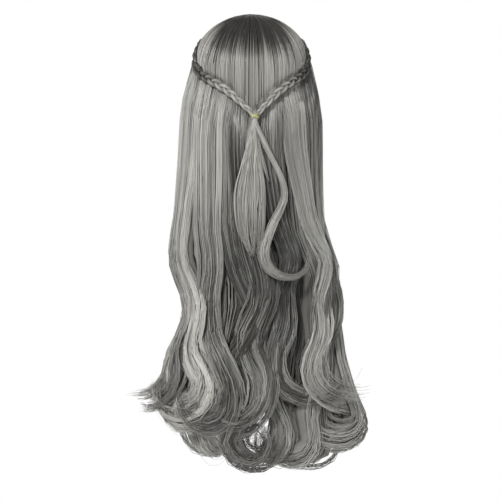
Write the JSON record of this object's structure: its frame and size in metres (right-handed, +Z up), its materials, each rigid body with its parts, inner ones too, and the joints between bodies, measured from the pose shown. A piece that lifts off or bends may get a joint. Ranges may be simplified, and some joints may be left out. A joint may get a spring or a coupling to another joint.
{
  "type": "half-up braided long wig",
  "caption": "Long waved wig worn half up: thin braids from the temples meet in an elastic tie at the centre back and hang on as a short tail.",
  "frame": {"origin": "inside top of the cap, where it sits on the crown of the head", "axes": "+Z up, +Y the way the wearer faces, +X to the wearer's right"},
  "size_m": [0.3384, 0.2352, 0.6526],
  "materials": {
    "cap_net": "matte stretch net with sewn wefts",
    "crown_hair": "smooth satin synthetic fibre",
    "long_hair": "satin synthetic fibre in waves",
    "braid_hair": "satin synthetic fibre, plaited",
    "tail_hair": "satin synthetic fibre in waves",
    "tie": "matte elastic"
  },
  "bodies": {
    "root": {"cap": "cap_net", "crown_hair": "crown_hair", "back_hair": "long_hair", "side_hair_left": "long_hair", "side_hair_right": "long_hair", "braid_left_strand_1": "braid_hair", "braid_left_strand_2": "braid_hair", "braid_left_strand_3": "braid_hair", "braid_right_strand_1": "braid_hair", "braid_right_strand_2": "braid_hair", "braid_right_strand_3": "braid_hair", "hair_tie": "tie", "tail": "tail_hair"}
  },
  "joints": []
}
